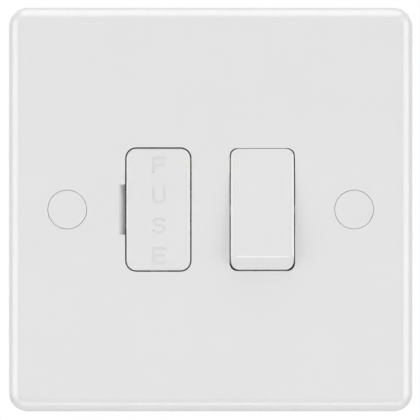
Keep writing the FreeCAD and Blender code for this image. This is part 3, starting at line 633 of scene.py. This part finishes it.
def notch_cutter():
    """Scoop that deepens towards the carrier, with its ends flared beside it."""
    edge = CARRIER_X - CARRIER_WIDTH / 2 - CARRIER_GAP
    inner = edge + CARRIER_GAP
    width = inner - (edge - NOTCH_WIDTH)
    rings = []
    for i in range(NOTCH_STEPS + 1):
        share = i / NOTCH_STEPS
        x = inner - width * (1 - share)
        deep = math.sin(math.radians(90.0 * share))
        floor = FACE_Y + NOTCH_START + (NOTCH_DEPTH - NOTCH_START) * deep
        flare = max(0.0, (share - NOTCH_FLARE_START) / (1 - NOTCH_FLARE_START)) ** 2
        half = NOTCH_HALF_HEIGHT + NOTCH_FLARE * flare
        front = FACE_Y - OVERCUT
        rings.append([(x, front, -half), (x, floor, -half), (x, floor, half), (x, front, half)])
    return loft("notch", rings)


def trunnion_cutter(side, behind):
    """Seat of a rocker trunnion in the wall of its opening."""
    radius = TRUNNION_RADIUS + TRUNNION_FIT
    wall = ROCKER_OPENING[0]
    x = sorted((ROCKER_X + side * (wall - OVERCUT), ROCKER_X + side * (wall + TRUNNION_WAY)))
    top = arc((ROCKER_PIVOT_Y, 0.0), radius, 90.0, 270.0, 12)
    outline = top + [(behind, -radius), (behind, radius)]
    return loft("trunnion_way", [[(place, y, z) for y, z in outline] for place in x])


def make_plate():
    """Plate with its openings, recesses and notch in front of the seam."""
    seam = FACE_Y + SEAM_DEPTH
    behind = seam + OVERCUT
    front = stack("plate_front", plate_outline, rounded_front(seam, EDGE_ACROSS, EDGE_DEEP))
    cutters = [
        stack("carrier_way", carrier_way, flared(behind, OPENING_ROUND)),
        stack("rocker_way", rocker_way, flared(behind, OPENING_ROUND)),
        notch_cutter(),
    ]
    for side in (-1, 1):
        cutters.append(stack("cap_way", cap_way(side), flared(behind, CAP_ROUND)))
        cutters.append(trunnion_cutter(side, behind))
    combine(front, cutters, "DIFFERENCE")
    whole = merged("front_plate_fine", [front, rear_of("front_plate", seam)])
    return finished(whole, "white_plastic", "base", ["front_plate"])


# Fuse carrier and its letters
def letter_strokes():
    """Centre lines of the four letters, within half a width and half a height."""
    w = LETTER_WIDTH / 2
    h = LETTER_HEIGHT / 2
    e_bar = E_BAR_RAISE * h
    bowl = arc((0.0, 0.0), 1.0, 180.0, 360.0, 12)
    u_line = [(-w, h)] + [(x * w, z * w - h + w) for x, z in bowl] + [(w, h)]
    upper = [(x * w, z * h / 2 + h / 2) for x, z in arc((0.0, 0.0), 1.0, S_OPENING, 270.0, 16)]
    lower = [(x * w, z * h / 2 - h / 2) for x, z in arc((0.0, 0.0), 1.0, 90.0, S_OPENING - 180.0, 16)]
    return [
        [[(w, h), (-w, h), (-w, -h)], [(-w, 0.0), (F_BAR_REACH * w, 0.0)]],
        [u_line],
        [upper + lower[1:]],
        [[(w, h), (-w, h), (-w, -h), (w, -h)], [(-w, e_bar), (E_BAR_REACH * w, e_bar)]],
    ]


def mitres(line):
    """Sideways direction at each point of a line, longer where the line bends."""
    found = []
    for i, point in enumerate(line):
        before = Vector(point) - Vector(line[max(i - 1, 0)])
        after = Vector(line[min(i + 1, len(line) - 1)]) - Vector(point)
        before = (before if before.length else after).normalized()
        after = (after if after.length else before).normalized()
        middle = (before + after).normalized()
        found.append(Vector((-middle.y, middle.x)) / max(middle.dot(after), MITRE_LIMIT))
    return found


def groove(line):
    """Cutter for one stroke, with sloping sides and square ends."""
    ends = [Vector(line[0]), Vector(line[-1])]
    ends[0] += (ends[0] - Vector(line[1])).normalized() * LETTER_STROKE / 2
    ends[1] += (ends[1] - Vector(line[-2])).normalized() * LETTER_STROKE / 2
    line = [tuple(ends[0])] + list(line[1:-1]) + [tuple(ends[1])]
    wide, narrow = LETTER_STROKE / 2 + LETTER_SLOPE, LETTER_STROKE / 2 - LETTER_SLOPE
    section = [(-wide, -LETTER_DEPTH), (-narrow, LETTER_DEPTH)]
    section += [(narrow, LETTER_DEPTH), (wide, -LETTER_DEPTH)]
    rings = []
    for point, aside in zip(line, mitres(line)):
        rings.append([(point[0] + aside.x * out, FACE_Y + y, point[1] + aside.y * out)
                      for out, y in section])
    return loft("groove", rings)


def letter_grooves():
    """Cutters of the four letters, one above the other."""
    grooves = []
    for number, strokes in enumerate(letter_strokes()):
        z = LETTER_TOP_Z - number * LETTER_STEP
        for line in strokes:
            grooves.append(groove([(x + LETTER_X, height + z) for x, height in line]))
    return grooves


def in_letter(place):
    """Whether a place lies in a groove of the letters."""
    return abs(place.x - LETTER_X) < LETTER_WIDTH and SLIVER < place.y - FACE_Y < LETTER_DEPTH + SLIVER


def make_carrier():
    """Carrier with its letters and the pocket for the screwdriver."""
    seam = FACE_Y + CARRIER_SEAM_DEPTH
    front = stack("carrier_front", carrier_outline, rounded_front(seam, CARRIER_ROUND, CARRIER_ROUND, 8))
    side = CARRIER_X - CARRIER_WIDTH / 2
    pocket = cuboid("pocket", (side - OVERCUT, FACE_Y + POCKET_FRONT, -POCKET_HALF_HEIGHT),
                    (side + POCKET_DEPTH, seam + OVERCUT, POCKET_HALF_HEIGHT))
    combine(front, [pocket] + letter_grooves(), "DIFFERENCE")
    whole = merged("fuse_carrier_fine", [front, rear_of("fuse_carrier", seam)])
    finished(whole, "white_plastic", "fuse_drawer", ["fuse_carrier"])
    # The groove faces get a darker colour: painted shade in the letters
    return repaint(whole, "letter_painted_shade", in_letter)


# Rocker
def softened_corner(before, corner, after, radius):
    """Short curve in place of a corner of a side view."""
    into = (Vector(corner) - Vector(before)).normalized()
    away = (Vector(after) - Vector(corner)).normalized()
    reach = radius * math.tan(into.angle(away) / 2)
    start = Vector(corner) - into * reach
    end = Vector(corner) + away * reach
    points = []
    for i in range(7):
        t = i / 6
        points.append(tuple(start * (1 - t) ** 2 + Vector(corner) * 2 * t * (1 - t) + end * t ** 2))
    return points


def rocker_profile():
    """Side view (y, z) about the pivot: face, ridge, facet, end arcs and open rear."""
    radius = ROCKER_END_RADIUS
    angle = math.radians(ROCKER_FACET_ANGLE)
    fall = Vector((math.sin(angle), -math.cos(angle)))
    ridge = Vector((-ROCKER_RISE, -ROCKER_RIDGE))
    along = ridge.dot(fall)
    foot = ridge + fall * (math.sqrt(along ** 2 - ridge.length_squared + radius ** 2) - along)
    top = Vector((-ROCKER_RISE, ROCKER_TOP_REACH))
    rear_z = math.sqrt(radius ** 2 - ROCKER_SKIRT ** 2)
    foot_angle = math.degrees(math.atan2(foot.y, foot.x))
    rear_angle = math.degrees(math.atan2(rear_z, ROCKER_SKIRT))
    lower = arc((0.0, 0.0), radius, foot_angle % 360.0 + ROCKER_FOOT_ANGLE, 360.0 - rear_angle, 10)
    upper = arc((0.0, 0.0), radius, rear_angle, 90.0, 10)
    points = softened_corner(upper[-1], top, ridge, ROCKER_TOP_ROUND)
    points += softened_corner(top, ridge, foot, RIDGE_ROUND)
    points += softened_corner(ridge, foot, lower[0], ROCKER_FOOT_ROUND)
    return points + lower + upper


def inset_outline(points, depth):
    """Closed outline drawn in by a small depth, square to itself."""
    count = len(points)
    moved_in = []
    for i, point in enumerate(points):
        along = Vector(points[(i + 1) % count]) - Vector(points[i - 1])
        inward = Vector((-along.y, along.x)).normalized()
        moved_in.append(tuple(Vector(point) + inward * depth))
    return moved_in


def rocker_ring(x, profile):
    """Cross-section at one place across the rocker, for its plan corners and side rounds."""
    half = ROCKER_WIDTH / 2
    out = abs(x)
    inset = 0.0
    end = ROCKER_END_RADIUS
    if out > half - ROCKER_CORNER:
        share = min((out - half + ROCKER_CORNER) / ROCKER_CORNER, 1.0)
        end -= ROCKER_CORNER * (1 - math.sqrt(1 - share ** 2))
    if out > half - ROCKER_SIDE_ROUND:
        share = min((out - half + ROCKER_SIDE_ROUND) / ROCKER_SIDE_ROUND, 1.0)
        inset = ROCKER_SIDE_ROUND * (1 - math.sqrt(1 - share ** 2))
    squeeze = (end - ROCKER_SQUEEZE_START) / (ROCKER_END_RADIUS - ROCKER_SQUEEZE_START)
    ring = []
    for y, z in inset_outline(profile, inset):
        beyond = max(abs(z) - ROCKER_SQUEEZE_START, 0.0)
        ring.append((x, y, math.copysign(abs(z) - beyond * (1 - squeeze), z)))
    return ring


def rocker_stations():
    """Places across the rocker, close together where its form bends."""
    half = ROCKER_WIDTH / 2
    places = []
    for i in range(11):
        for radius, step in ((ROCKER_CORNER, CORNER_STEP), (ROCKER_SIDE_ROUND, SIDE_STEP)):
            places.append(half - radius + radius * math.sin(math.radians(step * i)))
    places = sorted(set(round(place, 4) for place in places))
    return [-place for place in reversed(places)] + [0.0] + places


def plunger_tube(x):
    """Tube with a blind bore, open to the rear."""
    bore, outer = TUBE_RADII
    start = ROCKER_SKIN - ROCKER_RISE - TUBE_SINK
    profile = [(outer, start), (outer, TUBE_END - TUBE_CHAMFER), (outer - TUBE_CHAMFER, TUBE_END)]
    profile += [(bore + BORE_CHAMFER, TUBE_END), (bore, TUBE_END - BORE_CHAMFER), (bore, TUBE_START)]
    return lathe("plunger_tube", profile, (x, 0.0))


def tilt(x):
    """From the rocker's own frame to its place, tilted to off."""
    place = Matrix.Translation(Vector((x, ROCKER_PIVOT_Y, 0.0)) * MM)
    return place @ Matrix.Rotation(math.radians(-ROCKER_TILT), 4, "X")


def on_ridge(place):
    """Whether a place lies on the narrow crest of the ridge, short of its ends, where a highlight is
    painted.
    """
    own = tilt(ROCKER_X).inverted() @ (place * MM) / MM
    if abs(own.x) > RIDGE_LINE_HALF or own.y > RIDGE_LINE_DEPTH - ROCKER_RISE:
        return False
    return RIDGE_LINE_SPAN[0] < own.z + ROCKER_RIDGE < RIDGE_LINE_SPAN[1]


def make_rocker():
    """Hollow rocker with its plunger tubes and trunnions."""
    profile = rocker_profile()
    shell = loft("rocker_shell", [rocker_ring(x, profile) for x in rocker_stations()])
    half = ROCKER_WIDTH / 2
    x = half - ROCKER_WALL
    z = ROCKER_RIDGE - RIDGE_ROUND
    hollow = cuboid("rocker_hollow", (-x, ROCKER_SKIN - ROCKER_RISE, -z), (x, ROCKER_SKIRT + OVERCUT, z))
    combine(shell, [hollow], "DIFFERENCE")
    pieces = [shell, plunger_tube(-POLE_OFFSET), plunger_tube(POLE_OFFSET)]
    for low, high in ((-half - TRUNNION_LENGTH, -x), (x, half + TRUNNION_LENGTH)):
        pieces.append(rod_x("trunnion", TRUNNION_RADIUS, low, high, (0.0, 0.0)))
    whole = moved(merged("rocker_fine", pieces), tilt(ROCKER_X))
    finished(whole, "white_plastic", "rocker", ["rocker"])
    # The crest of the ridge gets a lighter colour: a painted highlight
    return repaint(whole, "ridge_highlight_strip", on_ridge)


# Caps, screws and springs
def make_cap(side, node):
    """Push-in cap, open to the rear."""
    edge = [(CAP_RADIUS - CAP_EDGE + x, FACE_Y + CAP_EDGE - y)
            for x, y in arc((0.0, 0.0), CAP_EDGE, 90.0, 0.0, 6)]
    bottom = node_box(node)[1].y
    inner = CAP_RADIUS - CAP_SKIRT_WALL
    profile = [(0.0, FACE_Y)] + edge
    profile += [(CAP_RADIUS, bottom), (inner, bottom), (inner, FACE_Y + CAP_THICKNESS)]
    cap = lathe(node + "_fine", profile, (side * FIXING_X, 0.0), 72)
    return finished(cap, "white_plastic", "base", [node])


def thread(radius, pitch, start, end, centre):
    """Screw thread between two depths, drawn in at its tip: each ring's radius follows the helix."""
    rows = max(int(abs(end - start) / pitch * THREAD_ROWS), 2)
    rings = []
    for row in range(rows + 1):
        y = start + (end - start) * row / rows
        fade = min(1.0, abs(end - y) / pitch + THREAD_TIP)
        ring = []
        for i in range(THREAD_STEPS):
            angle = 2 * math.pi * i / THREAD_STEPS
            wave = abs(2 * ((y / pitch + i / THREAD_STEPS) % 1.0) - 1)
            reach = (radius - THREAD_DEPTH * wave) * fade
            ring.append((centre[0] + reach * math.cos(angle), y, centre[1] + reach * math.sin(angle)))
        rings.append(ring)
    return loft("thread", rings)


def screw_head(radius, height, seat, outward, centre):
    """Pan head with a driver slot; outward is the side that faces the driver."""
    head = lathe("head", [(radius * r, seat + outward * height * h) for r, h in HEAD_SHAPE], centre)
    top = seat + outward * height
    y = sorted((top - outward * SLOT_DEPTH, top + outward * OVERCUT))
    slot = cuboid("slot", (centre[0] - radius - OVERCUT, y[0], centre[1] - SLOT_WIDTH / 2),
                  (centre[0] + radius + OVERCUT, y[1], centre[1] + SLOT_WIDTH / 2))
    return combine(head, [slot], "DIFFERENCE")


def in_slots(centres, top, outward):
    """Test for the walls and floor of driver slots whose heads end at one depth."""
    def test(place):
        below = (top - place.y) * outward
        if not 2 * SLIVER < below < SLOT_DEPTH + 2 * SLIVER:
            return False
        return any(abs(place.z - z) < SLOT_WIDTH / 2 + SLIVER and abs(place.x - x) < SLOT_WIDTH * 3
                   for x, z in centres)
    return test


def plain_rod(radius, start, end, centre):
    """Rod along Y."""
    return lathe("rod", [(radius, start), (radius, end)], centre, 32)


def make_fixing_screws():
    """Two long screws under the caps, with a thin neck behind the head."""
    low, high = node_box("fixing_screws")
    seat = low.y + FIXING_HEAD_HEIGHT
    neck = (seat - HEAD_OVERLAP, FIXING_THREAD_START + NECK_OVERLAP)
    pieces = []
    for side in (-1, 1):
        centre = (side * FIXING_X, 0.0)
        pieces.append(screw_head(FIXING_HEAD_RADIUS, FIXING_HEAD_HEIGHT, seat, -1, centre))
        pieces.append(plain_rod(FIXING_NECK_RADIUS, *neck, centre))
        pieces.append(thread(FIXING_THREAD_RADIUS, FIXING_PITCH, FIXING_THREAD_START, high.y, centre))
    whole = finished(merged("fixing_screws_fine", pieces), "zinc_steel", "base", ["fixing_screws"])
    # The slot walls and floors get painted shade
    return repaint(whole, "slot_painted_shade", in_slots([(-FIXING_X, 0.0), (FIXING_X, 0.0)], low.y, -1))


def make_housing_screws():
    """Four short screws in the housing lugs."""
    low, high = node_box("housing_screws")
    seat = high.y - HOUSING_HEAD_HEIGHT
    x = high.x - HOUSING_HEAD_RADIUS
    z = high.z - HOUSING_HEAD_RADIUS
    pieces = []
    centres = ((-x, -z), (-x, z), (x, -z), (x, z))
    for centre in centres:
        pieces.append(screw_head(HOUSING_HEAD_RADIUS, HOUSING_HEAD_HEIGHT, seat, 1, centre))
        pieces.append(thread(HOUSING_SHANK_RADIUS, HOUSING_PITCH, seat + HEAD_OVERLAP, low.y, centre))
    whole = finished(merged("housing_screws_fine", pieces), "zinc_steel", "base", ["housing_screws"])
    # The slot walls and floors get painted shade
    return repaint(whole, "slot_painted_shade", in_slots(centres, high.y, 1))


def terminal_ways():
    """Centre of each clamp screw, from the boxes of the terminals."""
    ways = []
    for node in TERMINALS:
        low, high = node_box(node)
        middle = (low + high) / 2
        wide = high.x - low.x > WIDE_TERMINAL
        for shift in ((-EARTH_PITCH / 2, EARTH_PITCH / 2) if wide else (0.0,)):
            ways.append((middle.x + shift, middle.z))
    return ways


def make_terminal_screws():
    """Six clamp screws, driven from the rear."""
    low, high = node_box("terminal_screws")
    seat = high.y - TERMINAL_HEAD_HEIGHT
    pieces = []
    for centre in terminal_ways():
        pieces.append(screw_head(TERMINAL_HEAD_RADIUS, TERMINAL_HEAD_HEIGHT, seat, 1, centre))
        pieces.append(thread(TERMINAL_SHANK_RADIUS, TERMINAL_PITCH, seat + HEAD_OVERLAP, low.y, centre))
    whole = finished(merged("terminal_screws_fine", pieces), "zinc_steel", "base", ["terminal_screws"])
    # The slot walls and floors get painted shade
    return repaint(whole, "slot_painted_shade", in_slots(terminal_ways(), high.y, 1))


def make_spring(pole, x):
    """Round wire coil with closed ends."""
    steps = SPRING_STEPS * (SPRING_TURNS + 2)
    rings = []
    for step in range(steps + 1):
        turn = step / SPRING_STEPS
        share = min(max((turn - 1.0) / SPRING_TURNS, 0.0), 1.0)
        y = SPRING_START + (SPRING_END - SPRING_START) * share
        y += SPRING_WIRE * (min(turn, 1.0) - 1.0 + max(turn - SPRING_TURNS - 1.0, 0.0)) * 2
        angle = 2 * math.pi * turn
        ring = []
        for out, up in arc((0.0, 0.0), SPRING_WIRE, 0.0, 360.0, 10)[:-1]:
            reach = SPRING_RADIUS + out
            ring.append((x + reach * math.cos(angle), y + up, reach * math.sin(angle)))
        rings.append(ring)
    node = "plunger_spring_" + pole
    coil = moved(loft(node + "_fine", rings), tilt(ROCKER_X))
    finished(coil, "spring_steel", "rocker", [node])
    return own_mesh(coil)


# Camera, light and surroundings
def make_camera():
    """Camera straight in front of the face, with the plate's centre where the photograph has it."""
    data = bpy.data.cameras.new("photo_camera")
    data.sensor_width = SENSOR
    data.lens = SENSOR * CAMERA_DISTANCE / (PIXELS * PIXEL)
    camera = linked("photo_camera", data)
    x = (PIXELS / 2 - PLATE_CENTRE_PX[0]) * PIXEL
    z = (PLATE_CENTRE_PX[1] - PIXELS / 2) * PIXEL
    camera.location = Vector((x, FACE_Y - CAMERA_DISTANCE, z)) * MM
    camera.rotation_euler = (math.radians(90.0), 0.0, 0.0)
    bpy.context.scene.camera = camera


def strength_when_seen(tree, otherwise, seen, target):
    """One strength for what the camera sees, straight or by reflection, and another for the rest."""
    path = tree.nodes.new("ShaderNodeLightPath")
    last = path.outputs["Is Camera Ray"]
    for kind in ("Is Transmission Ray", "Is Glossy Ray"):
        either = tree.nodes.new("ShaderNodeMath")
        either.operation = "MAXIMUM"
        tree.links.new(last, either.inputs[0])
        tree.links.new(path.outputs[kind], either.inputs[1])
        last = either.outputs["Value"]
    vary(tree, last, otherwise, seen, target)


def make_world():
    """White to the camera and in reflections, and a plain soft fill otherwise."""
    world = bpy.data.worlds.new("studio")
    bpy.context.scene.world = world
    world.use_nodes = True
    background = world.node_tree.nodes["Background"]
    background.inputs["Color"].default_value = (1.0, 1.0, 1.0, 1.0)
    strength_when_seen(world.node_tree, WORLD_FILL, 1.0, background.inputs["Strength"])


def make_floor():
    """Pale studio floor, well below the plate and out of the photograph's frame."""
    half = FLOOR_SIZE / 2
    corners = [(x * half, y * half, FLOOR_Z) for x, y in ((-1, -1), (1, -1), (1, 1), (-1, 1))]
    mesh = bpy.data.meshes.new("floor")
    mesh.from_pydata([Vector(corner) * MM for corner in corners], [], [(0, 1, 2, 3)])
    floor = linked("floor", mesh)
    material, tree, shader = new_material("pale_floor")
    shader.inputs["Base Color"].default_value = (*FLOOR_TINT, 1.0)
    shader.inputs["Roughness"].default_value = FLOOR_ROUGHNESS
    shader.inputs["Emission Color"].default_value = (1.0, 1.0, 1.0, 1.0)
    strength_when_seen(tree, 0.0, FLOOR_LIFT, shader.inputs["Emission Strength"])
    mesh.materials.append(material)


def softbox(name, place, size, power):
    """Area light that faces the middle of the plate."""
    data = bpy.data.lights.new(name, "AREA")
    data.shape = "RECTANGLE"
    data.size, data.size_y = size
    data.energy = power
    lamp = linked(name, data)
    lamp.location = place
    aim = Vector((0.0, FACE_Y * MM, 0.0)) - Vector(place)
    lamp.rotation_euler = aim.to_track_quat("-Z", "Y").to_euler()


def make_lights():
    """Upright boxes at the sides, one above and a weak one below."""
    for name, (place, size, power) in LAMPS.items():
        softbox(name, place, size, power)


materials = make_materials()
for row in frame["record"]["subparts"]:
    node = row["node"]
    data = frame["nodes"][node].data
    data.materials.clear()
    data.materials.append(materials[row["material_slot"]])
make_plate()
make_carrier()
make_rocker()
make_cap(-1, "screw_cap_left")
make_cap(1, "screw_cap_right")
make_fixing_screws()
make_housing_screws()
make_terminal_screws()
make_spring("live", -POLE_OFFSET)
make_spring("neutral", POLE_OFFSET)
for node, width in SOFT_EDGES.items():
    softened(node, frame["nodes"][node]["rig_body"], width)
make_camera()
make_world()
make_floor()
make_lights()
bpy.context.scene.view_settings.view_transform = "Standard"
